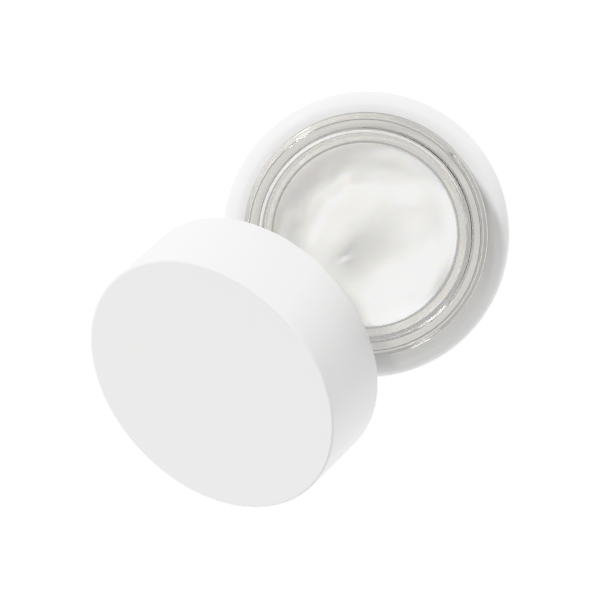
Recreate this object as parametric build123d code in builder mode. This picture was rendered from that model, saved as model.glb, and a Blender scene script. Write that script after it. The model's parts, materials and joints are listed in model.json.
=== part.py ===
"""Cosmetic cream jar with its screw cap off and leaning against the neck.

The jar is a double-wall pack: a white outer shell, a clear threaded cup that drops into it from
above, and a plug that closes the shell from below. The cap is a white shell over a threaded liner,
with a foam seal disc loose inside. Units are millimetres. The origin is the middle of the jar's
base, on the surface that it stands on, with +Z up.
"""
from build123d import *
from math import cos, radians, sin, sqrt
import os

# ---- jar: outer shell ----
jar_diameter = 62.0
jar_height = 26.2            # from the standing surface to the flat shoulder
shoulder_radius = 3.0
foot_radius = 1.0
shell_wall = 2.6
shoulder_thickness = 2.8

# ---- jar: base plug ----
plug_recess = 0.7            # the plug sits above the shell's foot ring
plug_thickness = 1.5
plug_skirt_height = 3.4
plug_skirt_wall = 1.2
plug_seat_step = 0.8         # the shell is this much thinner where the plug goes in
snap_height = 0.3            # how far a snap bead stands out
snap_width = 1.0
fit_gap = 0.05               # radial gap of pieces that push into each other
slip_gap = 0.10              # gap round a bead and between pieces that drop in

# ---- neck: a screw finish of one and a bit turns ----
neck_height = 9.6            # above the shoulder
thread_diameter = 52.5       # over the thread crests
thread_depth = 1.2
thread_pitch = 4.233
thread_root_width = 2.4
thread_crest_width = 1.1
thread_turns = 1.15
thread_top_drop = 2.4        # from the neck's top down to the middle of the first thread
lip_width = 2.35             # the neck's top, from its outside to the mouth
lip_radius = 0.5             # outer edge of the neck's top
flange_thickness = 1.2
cup_bead_drop = 0.15         # play between the shell's ledge and the cup's bead under it

# ---- bowl of the clear cup ----
mouth_radius = 0.3           # inner edge of the neck's top
throat_depth = 6.4           # below the neck's top, where the mouth has narrowed to the throat
throat_step = 2.9            # how far it narrows, on each side
cup_floor = 2.4
cup_wall = 3.5
bowl_radius = 8.0            # bowl corner, inside
cup_clearance = 0.6          # from the plug up to the cup's floor

# ---- cream ----
fill_depth = 6.9             # from the neck's top down to the cream's edge
cream_dip = 1.2              # how far the middle of the cream lies below its edge

# ---- cap ----
cap_diameter = 61.5
cap_height = 19.0
cap_wall = 1.6
cap_top = 1.8
cap_top_edge = 0.45
cap_rim_edge = 0.3
cap_shoulder_gap = 0.6       # left between the shoulder and the rim of the closed cap
liner_recess = 1.6           # the liner's rim lies this far inside the shell's rim
liner_wall = 1.2
liner_roof = 1.3
liner_flange = 1.2           # closes the gap to the shell at the liner's rim
liner_thread_turns = 0.9
liner_ribs = 24
liner_rib_width = 1.0
standoff_diameter = 38.0     # ring that carries the shell's top on the liner's roof
standoff_wall = 1.2
thread_play = 0.35           # radial gap between the cap's thread and the neck's

# ---- seal disc ----
foam_thickness = 1.5
facing_thickness = 0.15
seal_play = 0.3              # radial gap that lets the disc turn in the liner
seal_roof_gap = 0.05         # from the disc up to the liner's roof

# ---- where the cap leans ----
lean_tilt = 42.5             # degrees between the cap's axis and upright
lean_azimuth = 224.2         # degrees about Z, from +X, on the side where it leans
lean_gap = 0.15              # left between the cap and what it leans on

os.makedirs("parts", exist_ok=True)

# ---- worked out: jar ----
jar_radius = jar_diameter / 2
crest_radius = thread_diameter / 2
neck_radius = crest_radius - thread_depth
mouth = neck_radius - lip_width
throat = mouth - throat_step
neck_top = jar_height + neck_height
shell_inside = jar_radius - shell_wall
plug_bore = shell_inside + plug_seat_step
plug_radius = plug_bore - fit_gap
plug_top = plug_recess + plug_skirt_height
snap_middle = plug_recess + plug_skirt_height - snap_width
flange_bottom = jar_height - flange_thickness
ledge_bottom = jar_height - shoulder_thickness
flange_pocket = crest_radius + slip_gap
cup_radius = throat + cup_wall
ledge_bore = cup_radius + slip_gap
cup_bottom = plug_recess + plug_thickness + cup_clearance
bowl_floor = cup_bottom + cup_floor
fill_level = neck_top - fill_depth

# ---- worked out: cap, in its own height from the rim upwards ----
cap_radius = cap_diameter / 2
cap_inside = cap_radius - cap_wall
roof_height = cap_height - cap_top
seal_bottom = neck_height - cap_shoulder_gap
seal_top = seal_bottom + facing_thickness + foam_thickness
liner_ceiling = seal_top + seal_roof_gap
liner_top = liner_ceiling + liner_roof
liner_bore = crest_radius + thread_play
liner_outside = liner_bore + liner_wall
liner_thread_crest = neck_radius + thread_play
seal_radius = liner_bore - seal_play
standoff_radius = standoff_diameter / 2
rib_reach = cap_inside - fit_gap
neck_thread_start = neck_top - thread_top_drop - thread_turns * thread_pitch
liner_thread_start = neck_thread_start - jar_height - cap_shoulder_gap + thread_pitch / 2

# ---- worked out: how the cap leans ----
tilt_sin = sin(radians(lean_tilt))
tilt_cos = cos(radians(lean_tilt))
rim_centre_height = (cap_radius - cap_rim_edge) * tilt_sin + cap_rim_edge * (1 - tilt_cos)


def lean_reach(ring_radius, ring_height, wall_radius, depth):
    """Distance of the rim's centre from the jar's axis where a jar ring meets a wall in the cap.

    The wall is a circle of wall_radius round the cap's axis, depth above its rim. A ring that lies
    past the top of that circle meets the face beside it in the middle of the lean, and a ring too
    small to meet it asks for no distance.
    """
    rise = ring_height - rim_centre_height
    below_axis = (rise - depth * tilt_cos) / tilt_sin
    aside_squared = max(wall_radius**2 - below_axis**2, 0.0)
    if aside_squared > ring_radius**2:
        return 0.0
    return sqrt(ring_radius**2 - aside_squared) + (rise * tilt_cos - depth) / tilt_sin


jar_rings = [
    (neck_radius, neck_top),
    (crest_radius, neck_top - thread_top_drop + thread_root_width / 2),
    (jar_radius, jar_height),
]
cap_walls = [
    (cap_inside, 0.0),
    (liner_bore, liner_recess),
    (liner_thread_crest, liner_thread_start - thread_root_width / 2),
]
lean_distance = max(
    lean_reach(ring, height, wall - lean_gap, depth)
    for ring, height in jar_rings
    for wall, depth in cap_walls
)

jar_profile = Plane.XZ
cap_plane = Plane(
    origin=(
        lean_distance * cos(radians(lean_azimuth)),
        lean_distance * sin(radians(lean_azimuth)),
        rim_centre_height,
    ),
    x_dir=(
        tilt_cos * cos(radians(lean_azimuth)),
        tilt_cos * sin(radians(lean_azimuth)),
        -tilt_sin,
    ),
    z_dir=(
        tilt_sin * cos(radians(lean_azimuth)),
        tilt_sin * sin(radians(lean_azimuth)),
        tilt_cos,
    ),
)
cap_profile = Plane(origin=cap_plane.origin, x_dir=cap_plane.x_dir, z_dir=-cap_plane.y_dir)
cap_axis = Axis(cap_plane.origin, cap_plane.z_dir)


thread_bite = 0.1            # how far a thread's section reaches into its wall


def bowl_outline(top):
    """Lines of the bowl's inside, from its axis along the floor, round the corner and up."""
    corner = (throat - bowl_radius, bowl_floor)
    Line((0, bowl_floor), corner)
    RadiusArc(corner, (throat, bowl_floor + bowl_radius), -bowl_radius)
    Line((throat, bowl_floor + bowl_radius), (throat, top))


def screw_thread(start, turns, root, crest):
    """A trapezoid ridge that climbs round Z from the height start, between its root and crest."""
    bite = thread_bite if crest < root else -thread_bite
    with BuildPart() as ridge:
        with BuildLine(Plane.XY.offset(start)) as climb:
            Helix(pitch=thread_pitch, height=turns * thread_pitch, radius=root)
        with BuildSketch(Plane(climb.line @ 0, x_dir=(1, 0, 0), z_dir=climb.line % 0)):
            with BuildLine():
                Polyline(
                    (bite, -thread_root_width / 2),
                    (crest - root, -thread_crest_width / 2),
                    (crest - root, thread_crest_width / 2),
                    (bite, thread_root_width / 2),
                    close=True,
                )
            make_face()
        sweep(path=climb.line, is_frenet=True)
    return ridge.part


# ---- outer shell: open below, with a pocket and a ledge for the cup above ----
with BuildPart() as outer_shell:
    with BuildSketch(jar_profile):
        with BuildLine():
            Polyline(
                (plug_bore, 0),
                (jar_radius, 0),
                (jar_radius, jar_height),
                (flange_pocket, jar_height),
                (flange_pocket, flange_bottom),
                (ledge_bore, flange_bottom),
                (ledge_bore, ledge_bottom),
                (shell_inside, ledge_bottom),
                (shell_inside, plug_top),
                (plug_bore, plug_top),
                close=True,
            )
        make_face()
    revolve(axis=Axis.Z)
    outside = outer_shell.faces().filter_by(GeomType.CYLINDER).sort_by(SortBy.RADIUS)[-1]
    fillet(outside.edges().filter_by(GeomType.CIRCLE).sort_by(Axis.Z)[-1], shoulder_radius)
    outside = outer_shell.faces().filter_by(GeomType.CYLINDER).sort_by(SortBy.RADIUS)[-1]
    fillet(outside.edges().filter_by(GeomType.CIRCLE).sort_by(Axis.Z)[0], foot_radius)
    with BuildSketch(jar_profile):
        with Locations((plug_bore, snap_middle)):
            Rectangle(2 * (snap_height + slip_gap), snap_width + 2 * slip_gap)
    revolve(axis=Axis.Z, mode=Mode.SUBTRACT)
outer_shell.part.label = "outer_shell"
export_step(outer_shell.part, "parts/outer_shell.step")

# ---- base plug: a shallow dish whose bead clicks into the shell's groove ----
with BuildPart() as base_plug:
    with BuildSketch(jar_profile):
        with BuildLine():
            Polyline(
                (0, plug_recess),
                (plug_radius, plug_recess),
                (plug_radius, plug_top),
                (plug_radius - plug_skirt_wall, plug_top),
                (plug_radius - plug_skirt_wall, plug_recess + plug_thickness),
                (0, plug_recess + plug_thickness),
                close=True,
            )
        make_face()
        with Locations((plug_radius, snap_middle)):
            Rectangle(2 * snap_height, snap_width)
    revolve(axis=Axis.Z)
base_plug.part.label = "base_plug"
export_step(base_plug.part, "parts/base_plug.step")

# ---- inner cup: clear, hung by its flange in the shell's pocket, with the threaded neck ----
neck_thread = screw_thread(neck_thread_start, thread_turns, neck_radius, crest_radius)
with BuildPart() as inner_cup:
    with BuildSketch(jar_profile):
        with BuildLine():
            bowl_outline(neck_top - throat_depth)
            Polyline(
                (throat, neck_top - throat_depth),
                (mouth, neck_top),
                (neck_radius, neck_top),
                (neck_radius, jar_height),
                (crest_radius, jar_height),
                (crest_radius, flange_bottom),
                (cup_radius, flange_bottom),
                (cup_radius, cup_bottom),
                (0, cup_bottom),
                (0, bowl_floor),
            )
        make_face()
        fillet(vertices().group_by(Axis.Y)[-1].sort_by(Axis.X)[0], mouth_radius)
        fillet(vertices().group_by(Axis.Y)[-1].sort_by(Axis.X)[-1], lip_radius)
        fillet(vertices().group_by(Axis.Y)[0].sort_by(Axis.X)[-1], bowl_radius)
        with Locations((cup_radius, ledge_bottom - cup_bead_drop)):
            Rectangle(2 * snap_height, snap_width, align=(Align.CENTER, Align.MAX))
    revolve(axis=Axis.Z)
    add(neck_thread)
inner_cup.part.label = "inner_cup"
export_step(inner_cup.part, "parts/inner_cup.step")

# ---- cream: fills the bowl, with a shallow dip in the middle ----
dip_radius = (throat**2 + cream_dip**2) / (2 * cream_dip)
with BuildPart() as cream:
    with BuildSketch(jar_profile):
        with BuildLine():
            bowl_outline(fill_level)
            RadiusArc((throat, fill_level), (0, fill_level - cream_dip), dip_radius)
            Line((0, fill_level - cream_dip), (0, bowl_floor))
        make_face()
    revolve(axis=Axis.Z)
cream.part.label = "cream"
export_step(cream.part, "parts/cream.step")

# ---- cap shell: the plain white cover ----
with BuildPart(cap_plane) as cap_shell:
    with BuildSketch(cap_profile):
        with BuildLine():
            Polyline(
                (0, roof_height),
                (cap_inside, roof_height),
                (cap_inside, 0),
                (cap_radius, 0),
                (cap_radius, cap_height),
                (0, cap_height),
                close=True,
            )
        make_face()
        fillet(vertices().group_by(Axis.Y)[-1].sort_by(Axis.X)[-1], cap_top_edge)
        fillet(vertices().group_by(Axis.Y)[0], cap_rim_edge)
    revolve(axis=cap_axis)
cap_shell.part.label = "cap_shell"
export_step(cap_shell.part, "parts/cap_shell.step")

# ---- cap liner: the threaded cup inside the shell, on ribs and a stand-off ring ----
liner_thread = screw_thread(liner_thread_start, liner_thread_turns, liner_bore, liner_thread_crest)
with BuildPart(cap_plane) as cap_liner:
    with BuildSketch(cap_profile):
        with BuildLine():
            Polyline(
                (0, liner_ceiling),
                (liner_bore, liner_ceiling),
                (liner_bore, liner_recess),
                (rib_reach, liner_recess),
                (rib_reach, liner_recess + liner_flange),
                (liner_outside, liner_recess + liner_flange),
                (liner_outside, liner_top),
                (standoff_radius, liner_top),
                (standoff_radius, roof_height),
                (standoff_radius - standoff_wall, roof_height),
                (standoff_radius - standoff_wall, liner_top),
                (0, liner_top),
                close=True,
            )
        make_face()
    revolve(axis=cap_axis)
    with BuildSketch(cap_plane.offset(liner_recess)):
        with PolarLocations((liner_bore + rib_reach) / 2, liner_ribs):
            Rectangle(rib_reach - liner_bore - liner_wall / 2, liner_rib_width)
    extrude(amount=liner_top - liner_recess)
    add(liner_thread)
cap_liner.part.label = "cap_liner"
export_step(cap_liner.part, "parts/cap_liner.step")

# ---- seal disc: foam with a smooth facing, free to turn under the liner's roof ----
with BuildPart(cap_plane.offset(seal_bottom + facing_thickness)) as seal_foam:
    Cylinder(seal_radius, foam_thickness, align=(Align.CENTER, Align.CENTER, Align.MIN))
seal_foam.part.label = "seal_foam"
export_step(seal_foam.part, "parts/seal_foam.step")

with BuildPart(cap_plane.offset(seal_bottom)) as seal_facing:
    Cylinder(seal_radius, facing_thickness, align=(Align.CENTER, Align.CENTER, Align.MIN))
seal_facing.part.label = "seal_facing"
export_step(seal_facing.part, "parts/seal_facing.step")
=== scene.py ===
# %% [markdown]
# # Cosmetic cream jar
# A low round jar stands open and full, and its cap is off, leaning against the neck. The CAD frame
# gives the sizes and the joints. This script builds smooth meshes for the pieces that show, gives
# every piece its finish, and sets up the floor, the lights and the camera.

# %% Load the CAD frame
import json
from math import atan2, cos, degrees, exp, hypot, pi, radians, sin, tan

import bmesh
import bpy
from mathutils import Matrix, Vector, noise


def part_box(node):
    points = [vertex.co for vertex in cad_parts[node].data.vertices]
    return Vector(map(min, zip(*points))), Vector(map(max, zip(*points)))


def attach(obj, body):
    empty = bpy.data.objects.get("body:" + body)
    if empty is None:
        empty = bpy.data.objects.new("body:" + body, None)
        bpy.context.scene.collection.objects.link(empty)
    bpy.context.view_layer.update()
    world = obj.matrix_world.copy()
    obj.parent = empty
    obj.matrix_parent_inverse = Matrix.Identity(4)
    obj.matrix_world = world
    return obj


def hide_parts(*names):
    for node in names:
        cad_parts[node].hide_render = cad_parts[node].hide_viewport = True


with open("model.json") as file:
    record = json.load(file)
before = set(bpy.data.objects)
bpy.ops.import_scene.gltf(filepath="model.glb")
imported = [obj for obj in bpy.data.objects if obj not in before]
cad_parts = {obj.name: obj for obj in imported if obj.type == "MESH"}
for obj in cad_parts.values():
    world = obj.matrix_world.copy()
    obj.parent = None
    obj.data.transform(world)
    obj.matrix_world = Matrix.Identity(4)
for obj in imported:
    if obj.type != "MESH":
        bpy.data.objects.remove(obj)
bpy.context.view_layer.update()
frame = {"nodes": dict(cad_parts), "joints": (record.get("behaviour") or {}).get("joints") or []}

joints = {joint["name"]: joint for joint in frame["joints"]}
MM = 0.001

# %% [markdown]
# ## Measuring the frame
# Nothing is placed by eye. A jar piece is centred on the upright axis, so its box gives its radius
# and its heights. The sizes below are kept in metres, as Blender wants them.

# %% Read the jar's sizes
shell_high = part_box("outer_shell")[1]
cup_low, cup_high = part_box("inner_cup")
cream_low, cream_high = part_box("cream")
jar_radius, shoulder_height = shell_high.x, shell_high.z
crest_radius, neck_top = cup_high.x, cup_high.z
throat_radius, fill_level = cream_high.x, cream_high.z
cup_bottom, bowl_floor = cup_low.z, cream_low.z
print("jar radius, shoulder and neck top in mm:",
      [round(s / MM, 2) for s in (jar_radius, shoulder_height, neck_top)])

# %% [markdown]
# The cap leans, so its boxes are slanted and say little. Its joint gives the middle of its rim and
# the direction of its axis. Those two make one matrix, which carries a cap piece from an upright
# working place to where it leans. Taken backwards, it also stands the CAD cap up to be measured.

# %% Read the cap's place and sizes
cap_up = Vector(joints["cap_turn"]["axis"]).normalized()
lean = Vector((0, 0, 1)).rotation_difference(cap_up).to_matrix().to_4x4()
cap_place = Matrix.Translation(joints["cap_turn"]["pos_m"]) @ lean
cap_points = [cap_place.inverted() @ v.co for v in frame["nodes"]["cap_shell"].data.vertices]
cap_radius = max(p.xy.length for p in cap_points)
cap_height = max(p.z for p in cap_points)
print("cap radius, height in mm and lean in degrees:",
      round(cap_radius / MM, 2), round(cap_height / MM, 2),
      round(degrees(cap_up.angle(Vector((0, 0, 1)))), 1))

# %% [markdown]
# ## Turned pieces
# Every hard piece of the jar is round, so each is an outline spun about an axis, as on a lathe. A
# jar could also come from cylinders cut out of each other, but an outline keeps the walls, the
# ledges and the roundings in one short list. No moulded edge is sharp: each corner has a rounding,
# made with a vertex bevel on the wire outline before it is spun.

# %% A helper that draws an outline and rounds its corners
ROUNDING_STEPS = 6


def wire_outline(corners, closed):
    """A bmesh with one wire outline in the XZ plane, from (radius, height, rounding) in mm."""
    shape = bmesh.new()
    verts = [shape.verts.new((r * MM, 0, z * MM)) for r, z, _ in corners]
    pairs = list(zip(verts, verts[1:]))
    if closed:
        pairs.append((verts[-1], verts[0]))
    for a, b in pairs:
        shape.edges.new((a, b))
    for vert, (_, _, rounding) in zip(verts, corners):
        if rounding == 0:
            continue
        a, b = [edge.other_vert(vert).co - vert.co for edge in vert.link_edges]
        run = rounding * MM / tan(a.angle(b) / 2)
        bmesh.ops.bevel(shape, geom=[vert], offset=run, offset_type="OFFSET",
                        segments=ROUNDING_STEPS, profile=0.5, affect="VERTICES", material=-1)
    return shape


print("each rounded corner gets", ROUNDING_STEPS, "steps")

# %% [markdown]
# A spin turns the outline into a surface. Its last copy lies on its first one, and points on the
# axis lie on each other, so the seam and the poles are merged afterwards. A spin can come out with
# its faces turned inwards, so the normals are worked out again from the closed surface.

# %% A helper that spins an outline
SPIN_STEPS = 256
WELD = 0.0005 * MM


def spin_outline(shape):
    """Spin the wire outline all the way round the upright axis, and close its seam and poles."""
    bmesh.ops.spin(shape, geom=shape.verts[:] + shape.edges[:], cent=(0, 0, 0), axis=(0, 0, 1),
                   angle=2 * pi, steps=SPIN_STEPS, use_merge=True)
    bmesh.ops.remove_doubles(shape, verts=shape.verts[:], dist=WELD)
    bmesh.ops.recalc_face_normals(shape, faces=shape.faces[:])


print("each spin takes", SPIN_STEPS, "steps")

# %% [markdown]
# A piece keeps its object at the origin and its place in its mesh, so that patterns on object
# coordinates stay where they are. Smooth shading would bend the light at the end of a wide flat
# wall. Weighing the normals by face area cures that: the flats win, and only the roundings bend.

# %% Helpers that finish a piece
def finished_piece(name, shape, place=Matrix.Identity(4)):
    """Turn the bmesh into a smooth-shaded object whose place is in its mesh."""
    bmesh.ops.transform(shape, matrix=place, verts=shape.verts[:])
    mesh = bpy.data.meshes.new(name)
    shape.to_mesh(mesh)
    shape.free()
    mesh.shade_smooth()
    piece = bpy.data.objects.new(name, mesh)
    bpy.context.scene.collection.objects.link(piece)
    print(name, "has", len(mesh.polygons), "faces")
    return piece


def flat_looking_flats(piece):
    """Weigh normals by face area, so that wide flats shade flat right up to their roundings."""
    weights = piece.modifiers.new("face_weighted_normals", "WEIGHTED_NORMAL")
    weights.mode = "FACE_AREA"
    weights.weight = 100
    return piece


# %% [markdown]
# ## Outer shell
# The white shell is the jar's visible body: a straight wall with a soft round shoulder, a pocket
# and a ledge in the top that carry the clear cup, and a step at the foot for the base plug. The
# walls are the CAD part's, and the small roundings are what a mould leaves. Two faces in one place
# would render black, so a film of air is left between the pocket's floor and the cup's flange.

# %% Spin the outer shell
shell_outside = jar_radius / MM
shoulder = shoulder_height / MM
crest = crest_radius / MM
throat = throat_radius / MM
SHELL_WALL = 2.6
SHOULDER_ROUNDING = 3.0
PLUG_STEP = 0.8
PLUG_TOP = 4.1
POCKET_PLAY = 0.1
POCKET_DEPTH = 1.2
LEDGE_DEPTH = 2.8
LEDGE_REACH = 3.6
AIR_FILM = 0.06
shell_inside = shell_outside - SHELL_WALL
plug_bore = shell_inside + PLUG_STEP
pocket = crest + POCKET_PLAY
pocket_floor = shoulder - POCKET_DEPTH
ledge_bore = throat + LEDGE_REACH
ledge_bottom = shoulder - LEDGE_DEPTH

shell_shape = wire_outline([
    (plug_bore, 0, 0.3),
    (shell_outside, 0, 1.0),
    (shell_outside, shoulder, SHOULDER_ROUNDING),
    (pocket, shoulder, 0.2),
    (pocket, pocket_floor - AIR_FILM, 0.1),
    (ledge_bore, pocket_floor - AIR_FILM, 0.2),
    (ledge_bore, ledge_bottom, 0.2),
    (shell_inside, ledge_bottom, 0.4),
    (shell_inside, PLUG_TOP, 0.1),
    (plug_bore, PLUG_TOP, 0.1),
], closed=True)
spin_outline(shell_shape)
jar_shell = flat_looking_flats(finished_piece("jar_shell", shell_shape))
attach(jar_shell, "jar")
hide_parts("outer_shell")

# %% [markdown]
# ## Clear cup and its screw thread
# The cup is one clear moulding: a thick bowl that hangs in the shell, a flange, and the neck with
# its thread. A thread could be swept along a helix and joined on, but in clear plastic the hidden
# joint would show as a wall. So the neck's outside gets many fine rows, and each point moves
# outwards where the thread passes. The ridge fades out at both ends, as a moulded one does.

# %% The thread's profile
rim = neck_top / MM
THREAD_PITCH = 4.233
THREAD_TURNS = 1.15
THREAD_DEPTH = 1.2
THREAD_HALF_ROOT = 1.2
THREAD_HALF_CREST = 0.55
THREAD_FADE = 0.06
THREAD_TO_MOUTH = 2.4
thread_start = rim - THREAD_TO_MOUTH - THREAD_TURNS * THREAD_PITCH


def smooth_step(value, low, high):
    """0 below low and 1 above high, with an even S-curve between."""
    share = min(max((value - low) / (high - low), 0), 1)
    return share * share * (3 - 2 * share)


def thread_rise(turn, height):
    """How far the thread stands out at a height in mm, after that many turns from its start."""
    ends = smooth_step(turn, 0, THREAD_FADE)
    ends *= 1 - smooth_step(turn, THREAD_TURNS - THREAD_FADE, THREAD_TURNS)
    away = abs(height - thread_start - THREAD_PITCH * turn)
    return THREAD_DEPTH * ends * (1 - smooth_step(away, THREAD_HALF_CREST, THREAD_HALF_ROOT))


print("the thread starts at", round(thread_start, 2), "mm and ends at",
      round(thread_start + THREAD_TURNS * THREAD_PITCH, 2), "mm")

# %% [markdown]
# The cup's outline runs from the middle of its underside, round the bowl's outside, over the snap
# ring, the flange and the neck, and down inside to the middle of the bowl's floor. Both ends are on
# the axis, so the spin closes it. The throat narrows under the mouth, which is what gives a thick
# clear neck its rings.

# %% Draw the cup's outline
NECK_ROWS = 90
NECK_WALL = 2.35
NECK_ROUNDING = 0.5
TAPER_DEPTH = 6.4
TAPER_ROUNDING = 2.5
CUP_WALL = 3.5
BOWL_ROUNDING = 8
SNAP_RING = 0.3
SNAP_LOW, SNAP_HIGH = 1.15, 0.15
neck = crest - THREAD_DEPTH
mouth = neck - NECK_WALL
cup_outside = throat + CUP_WALL

cup_shape = wire_outline([
    (0, cup_bottom / MM, 0),
    (cup_outside, cup_bottom / MM, BOWL_ROUNDING),
    (cup_outside, ledge_bottom - SNAP_LOW, 0),
    (cup_outside + SNAP_RING, ledge_bottom - SNAP_LOW, 0.1),
    (cup_outside + SNAP_RING, ledge_bottom - SNAP_HIGH, 0.1),
    (cup_outside, ledge_bottom - SNAP_HIGH, 0),
    (cup_outside, pocket_floor, 0.15),
    (crest, pocket_floor, 0.1),
    (crest, shoulder, 0.2),
    (neck, shoulder, 0.25),
    (neck, rim, NECK_ROUNDING),
    (mouth, rim, 0.08),
    (throat, rim - TAPER_DEPTH, TAPER_ROUNDING),
    (throat, bowl_floor / MM, BOWL_ROUNDING),
    (0, bowl_floor / MM, 0),
], closed=False)
neck_wall = max(
    (edge for edge in cup_shape.edges if all(abs(v.co.x - neck * MM) < WELD for v in edge.verts)),
    key=lambda edge: edge.calc_length(),
)
bmesh.ops.subdivide_edges(cup_shape, edges=[neck_wall], cuts=NECK_ROWS)
print("the neck's wall is", round(neck - mouth, 2), "mm thick at the mouth and",
      round(neck - throat, 2), "mm at the throat")

# %% [markdown]
# The spun neck is plain, with all its fine rows at one radius. Each of their points asks how many
# turns it is from the thread's start, once for the first lap and once for the part that overlaps
# it, and moves outwards by the greater rise.

# %% Spin the cup and raise its thread
spin_outline(cup_shape)
for vert in cup_shape.verts:
    if abs(vert.co.xy.length - neck * MM) < WELD:
        turn = atan2(vert.co.y, vert.co.x) / (2 * pi) % 1
        rise = max(thread_rise(turn + lap, vert.co.z / MM) for lap in (0, 1))
        vert.co.xy *= 1 + rise / neck
clear_cup = flat_looking_flats(finished_piece("clear_cup", cup_shape))
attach(clear_cup, "jar")
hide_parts("inner_cup")

# %% [markdown]
# ## Cream
# The cream was filled warm and has settled. Its edge clings to the wall. The filling nozzle left a
# hollow that runs out to one side and climbs again in a bank, a trough along the far wall, and a
# few soft folds. It could be sculpted by hand, but a sum of short formulas gives the same top on
# every run. Each one says how much it raises or lowers a point, in mm. A fold is a middle, a
# heading in degrees, a length, a width and a height.

# %% Folds and one lobe in the cream
LOBE_HEIGHT = 0.30
LOBE_FRONT = (3.7, 5.9)
LOBE_SPREAD = 3.2
FOLDS = [
    ((-4.7, -4.5), 20, 0.8, 0.45, -0.20),
    ((-4.0, -5.6), 25, 1.6, 0.6, 0.20),
    ((9.6, 6.8), 150, 3.0, 1.3, 0.30),
    ((1.2, -12.9), 80, 0.6, 0.45, 0.32),
    ((2.3, -14.9), 120, 0.7, 0.45, 0.32),
    ((0.6, -14.2), 30, 0.45, 0.45, 0.25),
    ((3.4, -13.6), 60, 0.5, 0.4, 0.22),
    ((10.2, -12.2), 40, 0.8, 0.45, 0.32),
    ((8.9, -12.9), 150, 0.5, 0.4, 0.22),
]


def fold(x, y, middle, heading, length, width, height):
    """A short soft ridge: its middle and its size in mm, and the way it runs in degrees."""
    dx, dy = x - middle[0], y - middle[1]
    along = dx * cos(radians(heading)) + dy * sin(radians(heading))
    across = dy * cos(radians(heading)) - dx * sin(radians(heading))
    return height * exp(-(along / length) ** 2 - (across / width) ** 2)


def lobe(x, y):
    """A low lobe with a wavy front, where the last of the cream ran out."""
    front = 1 - smooth_step(hypot(x + 8, y + 1.2) + 0.5 * sin(1.1 * y), *LOBE_FRONT)
    return LOBE_HEIGHT * front * exp(-(hypot(x + 4, y + 1.5) / LOBE_SPREAD) ** 2)


print("the cream has", len(FOLDS), "folds and one lobe")

# %% [markdown]
# The hollow and the bank are the large shapes that catch the light. The nozzle's last stroke is a
# direction, and a point is measured along it and across it. Along it the hollow deepens and the
# bank climbs, each on an S-curve, and across it both fade away on a bell curve.

# %% Hollow and bank along the nozzle's last stroke
STROKE_X, STROKE_Y = 0.64, -0.77
HOLLOW_DEPTH, HOLLOW_SLOPE, HOLLOW_ACROSS, HOLLOW_WIDTH = 3.8, (-4.5, 8.0), -3.0, 8.5
BANK_HEIGHT, BANK_SLOPE, BANK_ACROSS, BANK_WIDTH = 3.5, (8.5, 19.5), 2.5, 9


def hollow_and_bank(x, y):
    """A hollow that deepens along the nozzle's last stroke, and the bank at the stroke's end."""
    along, across = STROKE_X * x + STROKE_Y * y, STROKE_X * y - STROKE_Y * x
    hollow = exp(-((across - HOLLOW_ACROSS) / HOLLOW_WIDTH) ** 2)
    bank = exp(-((across - BANK_ACROSS) / BANK_WIDTH) ** 2)
    hollow *= smooth_step(along, *HOLLOW_SLOPE)
    bank *= smooth_step(along, *BANK_SLOPE)
    return BANK_HEIGHT * bank - HOLLOW_DEPTH * hollow


print("hollow and bank in mm:", HOLLOW_DEPTH, BANK_HEIGHT)

# %% [markdown]
# The trough runs along the wall on the other side. It would look machined if it followed the wall
# exactly, so its distance from the axis is made to wander with a noise. The noise is Blender's own,
# which gives the same values on every run. Each use reads it at a level of its own, so that no two
# patterns are alike.

# %% Trough along the far wall
FAR_X, FAR_Y = -0.62, 0.79
FAR_SPREAD = (-0.1, 0.75)
TROUGH_DEPTH, TROUGH_INNER, TROUGH_OUTER = 1.8, (9.6, 14.6), (14.8, 19.8)
TROUGH_WANDER, WANDER_SIZE = 1.6, 5


def soft_noise(x, y, level, size):
    """Soft bumps of about size mm, between -1 and 1."""
    return noise.noise(Vector((x, y, level)) / size)


def trough(x, y):
    """A trough along the wall, on the side that the nozzle's last stroke came from."""
    reach = hypot(x, y)
    far_side = smooth_step((FAR_Y * y + FAR_X * x) / (reach + 0.1), *FAR_SPREAD)
    wander = reach + TROUGH_WANDER * soft_noise(x, y, 5.2, WANDER_SIZE)
    inner_slope = smooth_step(wander, *TROUGH_INNER)
    outer_slope = 1 - smooth_step(wander, *TROUGH_OUTER)
    return -TROUGH_DEPTH * far_side * inner_slope * outer_slope


print("trough in mm:", TROUGH_DEPTH, "deep, wandering by", TROUGH_WANDER)

# %% [markdown]
# The large shapes, a broad swell and a fine ripple die away towards the wall, where the cream is
# held in place, and there its edge clings a little higher.

# %% The whole height of the cream's top
SWELL_HEIGHT, SWELL_SIZE = 0.35, 6
RIPPLE_HEIGHT, RIPPLE_SIZE = 0.06, 2.8
EDGE_DROP = 0.1
EDGE_CLING, CLING_STARTS = 0.2, 0.965


def cream_rise(x, y):
    """The height of the cream's top in mm, from the level of its edge."""
    share = hypot(x, y) / throat
    away_from_wall = 1 - share**8
    swell = SWELL_HEIGHT * soft_noise(x, y, 3.1, SWELL_SIZE)
    ripple = RIPPLE_HEIGHT * soft_noise(x, y, 8.7, RIPPLE_SIZE)
    rise = away_from_wall * (hollow_and_bank(x, y) + trough(x, y) + swell + ripple)
    rise += lobe(x, y) + sum(fold(x, y, *shape) for shape in FOLDS)
    return rise - EDGE_DROP + EDGE_CLING * smooth_step(share, CLING_STARTS, 1.0)


print("the cream's middle lies", round(-cream_rise(0, 0), 2), "mm under its edge")

# %% [markdown]
# The top is a disc with many fine rings, spun with the rest of the cream and then raised and
# lowered point by point. The side reaches a hair into the cup's wall, so that no thin film of air
# shows between cream and plastic.

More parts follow.
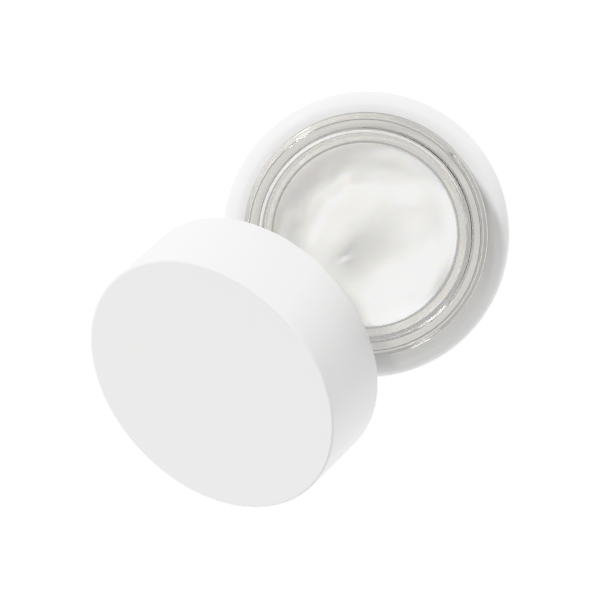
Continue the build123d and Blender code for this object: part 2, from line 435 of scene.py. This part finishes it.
# %% Spin the cream and shape its top
fill = fill_level / MM
DISH = 1.2
TOP_RINGS = 80
INTO_WALL = 0.05

cream_shape = wire_outline([
    (0, fill - DISH, 0),
    (throat + INTO_WALL, fill, 0),
    (throat + INTO_WALL, bowl_floor / MM - INTO_WALL, BOWL_ROUNDING),
    (0, bowl_floor / MM - INTO_WALL, 0),
], closed=False)
top_edge = max(cream_shape.edges, key=lambda edge: sum(v.co.z for v in edge.verts))
bmesh.ops.subdivide_edges(cream_shape, edges=[top_edge], cuts=TOP_RINGS)
spin_outline(cream_shape)
for vert in cream_shape.verts:
    if vert.co.z > (fill - DISH) * MM - WELD:
        vert.co.z = (fill + cream_rise(vert.co.x / MM, vert.co.y / MM)) * MM
cream_fill = finished_piece("cream_fill", cream_shape)
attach(cream_fill, "jar")
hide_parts("cream")

# %% [markdown]
# ## Cap shell
# The cap is a plain white cover with a flat top and a tight edge. A scaled cylinder would give the
# outside, but not the hollow that shows when the cap leans. So it is spun upright about its own
# axis, like the jar's pieces, and then the matrix from the joint leans it over.

# %% Spin the cap shell and lean it
cap_outside = cap_radius / MM
cap_tall = cap_height / MM
CAP_WALL = 1.6
CAP_TOP = 1.8
CAP_EDGE_ROUNDING = 0.45

cap_shape = wire_outline([
    (0, cap_tall - CAP_TOP, 0),
    (cap_outside - CAP_WALL, cap_tall - CAP_TOP, 0.6),
    (cap_outside - CAP_WALL, 0, 0.3),
    (cap_outside, 0, 0.3),
    (cap_outside, cap_tall, CAP_EDGE_ROUNDING),
    (0, cap_tall, 0),
], closed=False)
spin_outline(cap_shape)
cap_cover = flat_looking_flats(finished_piece("cap_cover", cap_shape, cap_place))
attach(cap_cover, "cap")
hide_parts("cap_shell")

# %% [markdown]
# ## Finishes
# Moulded plastic is never one even gloss: the mould is spark-eroded, which leaves a very fine grain
# and faint cloudy patches of more and less shine. That is one effect on every plastic here, so it
# is one node group with its own inputs, placed in each material with its own values.

# %% A node group for moulded skin
CLOUD_SCALE = 110


def moulded_skin_group():
    """Node group: grain and cloudiness in Object coordinates, as a roughness and a height."""
    group = bpy.data.node_groups.new("moulded_skin", "ShaderNodeTree")
    for side, *names in (("INPUT", "Grain Scale", "Roughness Low", "Roughness High"),
                         ("OUTPUT", "Roughness", "Height")):
        for name in names:
            group.interface.new_socket(name, in_out=side, socket_type="NodeSocketFloat")
    make, join = group.nodes.new, group.links.new
    inside, outside = make("NodeGroupInput"), make("NodeGroupOutput")
    place = make("ShaderNodeTexCoord")
    grain = make("ShaderNodeTexNoise")
    grain.inputs["Detail"].default_value = 3
    cloud = make("ShaderNodeTexNoise")
    cloud.inputs["Scale"].default_value = CLOUD_SCALE
    cloud.inputs["Detail"].default_value = 4
    spread = make("ShaderNodeMapRange")
    spread.inputs["From Min"].default_value = 0.35
    spread.inputs["From Max"].default_value = 0.65
    join(place.outputs["Object"], grain.inputs["Vector"])
    join(place.outputs["Object"], cloud.inputs["Vector"])
    join(inside.outputs["Grain Scale"], grain.inputs["Scale"])
    join(cloud.outputs["Fac"], spread.inputs["Value"])
    join(inside.outputs["Roughness Low"], spread.inputs["To Min"])
    join(inside.outputs["Roughness High"], spread.inputs["To Max"])
    join(spread.outputs["Result"], outside.inputs["Roughness"])
    join(grain.outputs["Fac"], outside.inputs["Height"])
    return group


moulded_skin = moulded_skin_group()
print("moulded_skin puts out", [s.name for s in moulded_skin.interface.items_tree][-2:])

# %% [markdown]
# Every finish starts the same way: a material, its Principled shader in one colour, and the two
# calls that make and join nodes. Most get the moulded skin as well. A small helper for each keeps
# the finishes below down to what makes them different.

# %% Helpers that start a finish and place the skin in it
def new_finish(name, colour):
    """A new material in one colour: itself, its shader, and the calls that make and join nodes."""
    finish = bpy.data.materials.new(name)
    finish.use_nodes = True
    nodes = finish.node_tree.nodes
    shader = nodes["Principled BSDF"]
    shader.inputs["Base Color"].default_value = (*colour, 1)
    return finish, shader, nodes.new, finish.node_tree.links.new


def add_skin(make, grain_scale, low, high):
    """Place the moulded skin group in a material, with its grain and its range of roughness."""
    skin = make("ShaderNodeGroup")
    skin.node_tree = moulded_skin
    skin.inputs["Grain Scale"].default_value = grain_scale
    skin.inputs["Roughness Low"].default_value = low
    skin.inputs["Roughness High"].default_value = high
    return skin


def wear(piece, finish):
    """Give a piece one finish all over."""
    piece.data.materials.clear()
    piece.data.materials.append(finish)
    print(piece.name, "wears", finish.name)


def wear_inside(piece, finish, is_inside):
    """Give a second finish to the faces that is_inside picks out."""
    piece.data.materials.append(finish)
    picked = [face for face in piece.data.polygons if is_inside(face)]
    for face in picked:
        face.material_index = 1
    print(len(picked), "faces of", piece.name, "wear", finish.name)


# %% [markdown]
# ## White plastics
# Shell, cap, liner and plug are white polypropylene or ABS. Only the gloss differs: the shell and
# cap are satin, and the liner and plug, which nobody looks at, are plainer.

# %% White plastic finishes
PLASTIC_IOR = 1.49
SATIN_WHITE = (0.885, 0.885, 0.88)
PLAIN_WHITE = (0.86, 0.86, 0.85)


def white_plastic(name, colour, low, high, grain_scale=2600, grain_depth=0.004):
    """A white moulding: its colour, the range of its roughness, and its grain's depth in mm."""
    finish, shader, make, join = new_finish(name, colour)
    shader.inputs["IOR"].default_value = PLASTIC_IOR
    skin = add_skin(make, grain_scale, low, high)
    bump = make("ShaderNodeBump")
    bump.inputs["Strength"].default_value = 1
    bump.inputs["Distance"].default_value = grain_depth * MM
    join(skin.outputs["Roughness"], shader.inputs["Roughness"])
    join(skin.outputs["Height"], bump.inputs["Height"])
    join(bump.outputs["Normal"], shader.inputs["Normal"])
    return finish


wear(jar_shell, white_plastic("satin_white_shell", SATIN_WHITE, 0.36, 0.46))
wear(cap_cover, white_plastic("satin_white_cap", SATIN_WHITE, 0.38, 0.48))
wear(frame["nodes"]["cap_liner"], white_plastic("plain_white_liner", PLAIN_WHITE, 0.42, 0.52))
wear(frame["nodes"]["base_plug"], white_plastic("plain_white_plug", PLAIN_WHITE, 0.45, 0.55))

# %% [markdown]
# ## Light inside the double wall
# The shell's wall is milky, so daylight comes through it and fills the gap behind the clear cup.
# Tracing that light through two walls takes very long and stays grainy. So that light is painted
# in:
# a faint glow on the faces of the hollow gives the same soft light through the clear plastic.

# %% Glow in the shell's hollow
SHELL_GLOW = 0.47
HOLLOW_WHITE = (0.90, 0.90, 0.89)


def glowing(finish, strength):
    """Add the light that comes through a milky wall, as a faint glow of its own."""
    shader = finish.node_tree.nodes["Principled BSDF"]
    shader.inputs["Emission Color"].default_value = (1, 0.98, 0.94, 1)
    shader.inputs["Emission Strength"].default_value = strength
    return finish


def in_shell_hollow(face):
    """Whether a face is inside the pocket's radius and above the base plug."""
    return face.center.xy.length < pocket * MM + WELD and face.center.z > (PLUG_TOP + 0.1) * MM


# Painted light: the hollow's faces glow in place of the daylight that comes through the milky wall.
painted_light_finish = white_plastic("painted_light_hollow", HOLLOW_WHITE, 0.45, 0.55)
wear_inside(jar_shell, glowing(painted_light_finish, SHELL_GLOW), in_shell_hollow)

# %% [markdown]
# ## Clear plastic
# The cup is a glass-clear styrene with a faint warm olive cast where it is thick. Absorption in the
# body of the plastic would be truer, but an exported surface keeps only the shader's own colour, so
# the cast is a light tint on the surface. The skin group gives it a faint unevenness of polish.

# %% Clear plastic finish
CLEAR_TINT = (0.975, 0.97, 0.945)
CLEAR_IOR = 1.5
clear_finish, clear_shader, make, join = new_finish("clear_styrene", CLEAR_TINT)
clear_shader.inputs["IOR"].default_value = CLEAR_IOR
clear_shader.inputs["Transmission Weight"].default_value = 1
skin = add_skin(make, 900, 0.02, 0.06)
join(skin.outputs["Roughness"], clear_shader.inputs["Roughness"])
wear(clear_cup, clear_finish)

# %% [markdown]
# Light that passes a clear wall on its way to another surface would have to be traced as caustics,
# which are slow and full of specks. So a ray that only asks whether a lamp is in sight meets a
# plain see-through shader in place of the glass. Its colour says how much light gets through: most
# of it straight on, and less and less as the wall is met aslant, because a curved wall throws that
# light aside.

# %% What the clear plastic lets through to the lamps
LIGHT_PASSED = (
    (0.0, (0.72, 0.71, 0.68)),
    (0.24, (0.68, 0.67, 0.64)),
    (0.40, (0.42, 0.41, 0.38)),
    (0.70, (0.28, 0.27, 0.24)),
    (0.86, (0.10, 0.09, 0.06)),
    (1.0, (0.0, 0.0, 0.0)),
)
facing = make("ShaderNodeLayerWeight")
facing.inputs["Blend"].default_value = 0.5
passed = make("ShaderNodeValToRGB")
steps = passed.color_ramp.elements
for at, _ in LIGHT_PASSED[1:-1]:
    steps.new(at)
for step, (_, colour) in zip(steps, LIGHT_PASSED):
    step.color = (*colour, 1)
see_through = make("ShaderNodeBsdfTransparent")
light_path = make("ShaderNodeLightPath")
either = make("ShaderNodeMixShader")
join(facing.outputs["Facing"], passed.inputs["Fac"])
join(passed.outputs["Color"], see_through.inputs["Color"])
join(light_path.outputs["Is Shadow Ray"], either.inputs["Fac"])
join(clear_shader.outputs["BSDF"], either.inputs[1])
join(see_through.outputs["BSDF"], either.inputs[2])
join(either.outputs["Shader"], clear_finish.node_tree.nodes["Material Output"].inputs["Surface"])
print("light passed at", [round(step.position, 2) for step in steps], "is",
      [round(step.color[0], 2) for step in steps])

# %% [markdown]
# ## Cream
# Cream is a dense emulsion: light goes in and comes out a millimetre or so away, which subsurface
# scattering gives. Its skin is half dry and half wet, so one noise drives both its shine and a very
# small bump.

# %% Cream finish
CREAM_WHITE = (0.89, 0.882, 0.85)
SCATTER_REACH = 1.3
DRY_ROUGHNESS, WET_ROUGHNESS = 0.56, 0.36
SKIN_BUMP = 0.03
cream_finish, cream_shader, make, join = new_finish("face_cream", CREAM_WHITE)
cream_shader.inputs["Subsurface Weight"].default_value = 1.0
cream_shader.inputs["Subsurface Radius"].default_value = (1.0, 0.85, 0.65)
cream_shader.inputs["Subsurface Scale"].default_value = SCATTER_REACH * MM
cream_shader.inputs["IOR"].default_value = 1.4
place = make("ShaderNodeTexCoord")
wetness = make("ShaderNodeTexNoise")
wetness.inputs["Scale"].default_value = 260
wetness.inputs["Detail"].default_value = 3
spread = make("ShaderNodeMapRange")
spread.inputs["To Min"].default_value = WET_ROUGHNESS
spread.inputs["To Max"].default_value = DRY_ROUGHNESS
bump = make("ShaderNodeBump")
bump.inputs["Strength"].default_value = 1
bump.inputs["Distance"].default_value = SKIN_BUMP * MM
join(place.outputs["Object"], wetness.inputs["Vector"])
join(wetness.outputs["Fac"], spread.inputs["Value"])
join(spread.outputs["Result"], cream_shader.inputs["Roughness"])
join(wetness.outputs["Fac"], bump.inputs["Height"])
join(bump.outputs["Normal"], cream_shader.inputs["Normal"])
wear(cream_fill, cream_finish)

# %% [markdown]
# The clear wall pipes light down to the cream's edge, so the edge never falls quite dark. A faint
# glow stands for it. It grows from nothing to full over the last few millimetres before the wall:
# the length of a point's vector in the level plane is its distance from the axis, and a Map Range
# turns that distance into strength.

# %% Light at the cream's edge
RIM_GLOW = 0.15
GLOW_STARTS, GLOW_FULL = 4.5, 0.5
from_axis = make("ShaderNodeVectorMath")
from_axis.operation = "MULTIPLY"
from_axis.inputs[1].default_value = (1, 1, 0)
distance = make("ShaderNodeVectorMath")
distance.operation = "LENGTH"
near_wall = make("ShaderNodeMapRange")
near_wall.interpolation_type = "SMOOTHSTEP"
near_wall.inputs["From Min"].default_value = throat_radius - GLOW_STARTS * MM
near_wall.inputs["From Max"].default_value = throat_radius - GLOW_FULL * MM
join(place.outputs["Object"], from_axis.inputs[0])
join(from_axis.outputs["Vector"], distance.inputs[0])
join(distance.outputs["Value"], near_wall.inputs["Value"])
join(near_wall.outputs["Result"], cream_shader.inputs["Emission Color"])
cream_shader.inputs["Emission Strength"].default_value = RIM_GLOW
print("the glow grows over", GLOW_STARTS - GLOW_FULL, "mm up to the wall")

# %% [markdown]
# The side of the cream is pressed against the clear wall. It gets a copy of the finish with an even
# glow, like the hollow behind it, and without scattering, which can't work where the cream reaches
# into the wall.

# %% Cream behind the clear wall
SIDE_GLOW = 0.26


def on_cream_side(face):
    """Whether a face is at the cup's wall and doesn't look up."""
    return face.center.xy.length > throat_radius - WELD and face.normal.z < 0.5


side_finish = glowing(cream_finish.copy(), SIDE_GLOW)
side_finish.name = "face_cream_behind_wall"
side_shader = side_finish.node_tree.nodes["Principled BSDF"]
for link in side_shader.inputs["Emission Color"].links:
    side_finish.node_tree.links.remove(link)
side_shader.inputs["Subsurface Weight"].default_value = 0
wear_inside(cream_fill, side_finish, on_cream_side)

# %% [markdown]
# ## Foam and film
# The seal is a pad of closed-cell foam with a smooth film on the face that meets the jar. Both are
# the white plastic again with other values: the foam is dull with coarse deep cells, and the film
# is shiny and nearly flat. They show only when the cap is seen from below.

# %% Foam and film finishes
foam_finish = white_plastic("foam_white", (0.84, 0.84, 0.82), 0.75, 0.9,
                            grain_scale=1800, grain_depth=0.06)
film_finish = white_plastic("film_white", (0.87, 0.87, 0.87), 0.2, 0.3,
                            grain_scale=700, grain_depth=0.01)
wear(frame["nodes"]["seal_foam"], foam_finish)
wear(frame["nodes"]["seal_facing"], film_finish)

# %% [markdown]
# ## Floor
# The jar stands on a glowing white sheet, as on a light table, so the ground stays white and free
# of shadow. A sheet bright enough to look pure white would light the jar too strongly from below.
# So the sheet has two strengths: the eye of the camera sees the bright one, and everything else is
# lit by the weaker one. The Light Path node tells the two kinds of ray apart.

# %% Floor
SHEET_RADIUS = 3
UNDER_JAR = 0.01
SHEET_SEEN = 1.6
SHEET_LIGHT = 1.25


def white_to_camera(tree, lighting, plain, output):
    """Mix a pure white of SHEET_SEEN into a node tree, for rays that come from the camera."""
    plain.inputs["Strength"].default_value = SHEET_SEEN
    seen = tree.nodes.new("ShaderNodeLightPath")
    either = tree.nodes.new("ShaderNodeMixShader")
    tree.links.new(seen.outputs["Is Camera Ray"], either.inputs["Fac"])
    tree.links.new(lighting.outputs[0], either.inputs[1])
    tree.links.new(plain.outputs[0], either.inputs[2])
    tree.links.new(either.outputs["Shader"], output.inputs["Surface"])


floor_shape = bmesh.new()
bmesh.ops.create_circle(floor_shape, cap_ends=True, radius=SHEET_RADIUS, segments=96)
floor = finished_piece("floor", floor_shape, Matrix.Translation((0, 0, -UNDER_JAR * MM)))
floor_finish, floor_shader, make, join = new_finish("light_table", (0.15, 0.15, 0.15))
floor_shader.inputs["Roughness"].default_value = 0.9
floor_shader.inputs["Emission Color"].default_value = (1, 1, 1, 1)
floor_shader.inputs["Emission Strength"].default_value = SHEET_LIGHT
white_to_camera(floor_finish.node_tree, floor_shader, make("ShaderNodeEmission"),
                floor_finish.node_tree.nodes["Material Output"])
wear(floor, floor_finish)

# %% [markdown]
# ## Room light
# A white room gives an even base light from all sides. Like the sheet, it has two strengths: it
# looks pure white to the camera, so that the sheet has no visible end from low down.

# %% Room light
ROOM_LIGHT = 0.28
room = bpy.data.worlds.new("white_room")
room.use_nodes = True
lighting = room.node_tree.nodes["Background"]
lighting.inputs["Color"].default_value = (1, 1, 1, 1)
lighting.inputs["Strength"].default_value = ROOM_LIGHT
backdrop = room.node_tree.nodes.new("ShaderNodeBackground")
backdrop.inputs["Color"].default_value = (1, 1, 1, 1)
white_to_camera(room.node_tree, lighting, backdrop, room.node_tree.nodes["World Output"])
bpy.context.scene.world = room
print("the room lights with", ROOM_LIGHT, "and shows as", SHEET_SEEN)

# %% [markdown]
# ## Lamps
# The shapes come from two narrow lamps on the far left: a high one models the cap and the cream,
# and a low one throws the neck's long shadow over the shoulder. Three broad weak lamps keep the
# shadows soft. Area lamps near by would do too, but a far lamp falls on every piece from the same
# side, whether the cap leans or stands over the neck.

# %% Lamps
def lamp(name, around, height, softness, strength):
    """A far lamp: its bearing from +X and its height in degrees, and how wide it looks."""
    data = bpy.data.lights.new(name, "SUN")
    data.energy = strength
    data.angle = radians(softness)
    away = Vector((cos(radians(around)) * cos(radians(height)),
                   sin(radians(around)) * cos(radians(height)), sin(radians(height))))
    item = bpy.data.objects.new(name, data)
    item.rotation_euler = away.to_track_quat("Z", "Y").to_euler()
    bpy.context.scene.collection.objects.link(item)
    print("lamp", name, "at", around, "degrees, height", height)


lamp("key", 129.7, 52, 9, 1.45)
lamp("low_key", 122, 30, 9, 1.52)
lamp("fill_right", 45, 40, 60, 0.33)
lamp("fill_left", 180, 40, 60, 0.35)
lamp("fill_near", -60, 40, 60, 0.38)

# %% [markdown]
# ## Picture settings
# A camera doesn't answer to light in a straight line: it lifts deep shadows and holds back bright
# whites. A curve does the same here, from light in to light out, and light at PAPER_WHITE comes out
# as pure white. Caustics are off, since the see-through shader stands in for them, and the bounces
# are many, because a look through the clear cup crosses many surfaces.

# %% Response curve and light paths
PAPER_WHITE = 1.5
RESPONSE = (
    (0.10, 0.16), (0.22, 0.33), (0.32, 0.43), (0.45, 0.52), (0.60, 0.63), (0.75, 0.75),
    (0.86, 0.83), (0.95, 0.88), (1.10, 0.895), (1.30, 0.925), (1.46, 0.955),
)
scene = bpy.context.scene
scene.view_settings.view_transform = "Standard"
scene.view_settings.use_curve_mapping = True
response = scene.view_settings.curve_mapping
response.white_level = (PAPER_WHITE, PAPER_WHITE, PAPER_WHITE)
all_colours = response.curves[3]
for light_in, light_out in RESPONSE:
    all_colours.points.new(light_in / PAPER_WHITE, light_out)
for point in all_colours.points:
    point.handle_type = "VECTOR"
response.update()
scene.cycles.caustics_refractive = False
scene.cycles.caustics_reflective = False
scene.cycles.max_bounces = 32
scene.cycles.diffuse_bounces = 8
scene.cycles.glossy_bounces = 32
scene.cycles.transmission_bounces = 32
print("the response curve has", len(all_colours.points), "points")

# %% [markdown]
# ## Camera
# The jar is seen from almost straight above with a long lens, a few degrees off its axis. The
# camera's three directions make the columns of its turn, which is simpler to check than angles. The
# view is centred between the jar and the cap.

# %% Camera
CAMERA_DISTANCE = 1.0
LENS = 270.23
LEAN_RIGHT, LEAN_UP = 0.04433, 0.02503
MIDDLE_RIGHT, MIDDLE_UP = -0.015415, -0.014769
toward_camera = Vector((LEAN_RIGHT, LEAN_UP, 1)).normalized()
camera_right = Vector((1, 0, -LEAN_RIGHT)).normalized()
camera_up = toward_camera.cross(camera_right)
view_middle = MIDDLE_RIGHT * camera_right + MIDDLE_UP * camera_up

camera_data = bpy.data.cameras.new("camera")
camera_data.lens = LENS
camera_data.sensor_width = 36
camera_data.clip_start = 0.01
camera = bpy.data.objects.new("camera", camera_data)
turn = Matrix((camera_right, camera_up, toward_camera)).transposed().to_4x4()
camera.matrix_world = Matrix.Translation(view_middle + toward_camera * CAMERA_DISTANCE) @ turn
bpy.context.scene.collection.objects.link(camera)
bpy.context.scene.camera = camera
print("the camera leans", round(degrees(toward_camera.angle(Vector((0, 0, 1)))), 1),
      "degrees from upright")
